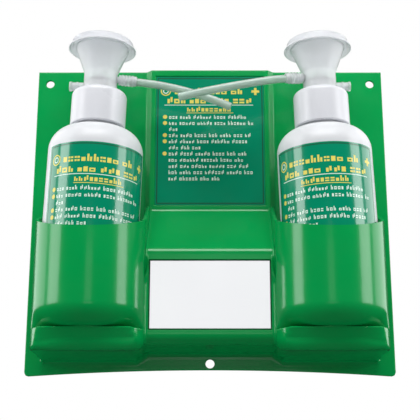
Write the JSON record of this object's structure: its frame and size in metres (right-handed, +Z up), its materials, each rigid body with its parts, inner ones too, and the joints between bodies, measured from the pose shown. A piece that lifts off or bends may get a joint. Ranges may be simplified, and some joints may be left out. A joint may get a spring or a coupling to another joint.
{
  "type": "wall-mounted eyewash station",
  "caption": "Wall-hung first-aid eyewash station: formed panel with pockets for squeeze bottles with eye cups and drain hoses, an instruction label and a mirror.",
  "frame": {"origin": "midway between the two top screw holes, on the wall plane behind the panel", "axes": "+Z up, +X to the right seen from the front, the front faces -Y and the wall is the plane y = 0"},
  "size_m": [0.29, 0.0835, 0.2651],
  "materials": {
    "panel_green": "gloss",
    "label_print": "gloss laminate",
    "mirror_glass": "mirror",
    "foam_tape": "matt",
    "bottle_plastic": "satin",
    "collar_plastic": "satin",
    "cup_plastic": "translucent satin",
    "cover_plastic": "translucent satin",
    "hose_plastic": "translucent gloss",
    "washer_foam": "matt",
    "solution_clear": "clear"
  },
  "bodies": {
    "station": {"wall_panel": "panel_green", "instruction_label": "label_print", "mirror": "mirror_glass", "mirror_tape": "foam_tape"},
    "left_bottle_unit": {"left_bottle": "bottle_plastic", "left_bottle_label": "label_print", "left_solution": "solution_clear"},
    "left_cup_unit": {"left_eye_cup": "cup_plastic", "left_washer": "washer_foam", "left_spray_nozzle": "cup_plastic", "left_dip_tube": "bottle_plastic", "left_drain_sleeve": "cup_plastic", "left_drain_hose": "hose_plastic"},
    "left_collar_unit": {"left_collar": "collar_plastic"},
    "left_cover_unit": {"left_dust_cover": "cover_plastic"},
    "left_plug_unit": {"left_vent_plug": "cup_plastic"},
    "right_bottle_unit": {"right_bottle": "bottle_plastic", "right_bottle_label": "label_print", "right_solution": "solution_clear"},
    "right_cup_unit": {"right_eye_cup": "cup_plastic", "right_washer": "washer_foam", "right_spray_nozzle": "cup_plastic", "right_dip_tube": "bottle_plastic", "right_drain_sleeve": "cup_plastic", "right_drain_hose": "hose_plastic"},
    "right_collar_unit": {"right_collar": "collar_plastic"},
    "right_cover_unit": {"right_dust_cover": "cover_plastic"},
    "right_plug_unit": {"right_vent_plug": "cup_plastic"}
  },
  "joints": [
    {"name": "left_bottle_lift", "type": "slide", "parent": "station", "child": "left_bottle_unit", "axis": [0.0314, 0, 0.9995], "range_m": [0, 0.14]},
    {"name": "left_cup_rise", "type": "slide", "parent": "left_bottle_unit", "child": "left_cup_unit", "axis": [0.0314, 0, 0.9995], "range_m": [0, 0.00526]},
    {"name": "left_collar_turn", "type": "hinge", "parent": "left_cup_unit", "child": "left_collar_unit", "pos_m": [-0.09395, -0.041, -0.2096], "axis": [0.0314, 0, 0.9995], "range_deg": [0, 450]},
    {"name": "left_cover_pull", "type": "slide", "parent": "left_cup_unit", "child": "left_cover_unit", "axis": [0.0314, 0, 0.9995], "range_m": [0, 0.03]},
    {"name": "left_plug_pull", "type": "slide", "parent": "left_cup_unit", "child": "left_plug_unit", "axis": [-0.9995, 0, 0.0314], "range_m": [0, 0.012]},
    {"name": "right_bottle_lift", "type": "slide", "parent": "station", "child": "right_bottle_unit", "axis": [-0.0314, 0, 0.9995], "range_m": [0, 0.14]},
    {"name": "right_cup_rise", "type": "slide", "parent": "right_bottle_unit", "child": "right_cup_unit", "axis": [-0.0314, 0, 0.9995], "range_m": [0, 0.00526]},
    {"name": "right_collar_turn", "type": "hinge", "parent": "right_cup_unit", "child": "right_collar_unit", "pos_m": [0.09395, -0.041, -0.2096], "axis": [-0.0314, 0, 0.9995], "range_deg": [0, 450]},
    {"name": "right_cover_pull", "type": "slide", "parent": "right_cup_unit", "child": "right_cover_unit", "axis": [-0.0314, 0, 0.9995], "range_m": [0, 0.03]},
    {"name": "right_plug_pull", "type": "slide", "parent": "right_cup_unit", "child": "right_plug_unit", "axis": [0.9995, 0, 0.0314], "range_m": [0, 0.012]}
  ],
  "couplings": [
    {"joint": "left_cup_rise", "follows": "left_collar_turn", "m_per_rad": 0.00066845},
    {"joint": "right_cup_rise", "follows": "right_collar_turn", "m_per_rad": 0.00066845}
  ]
}
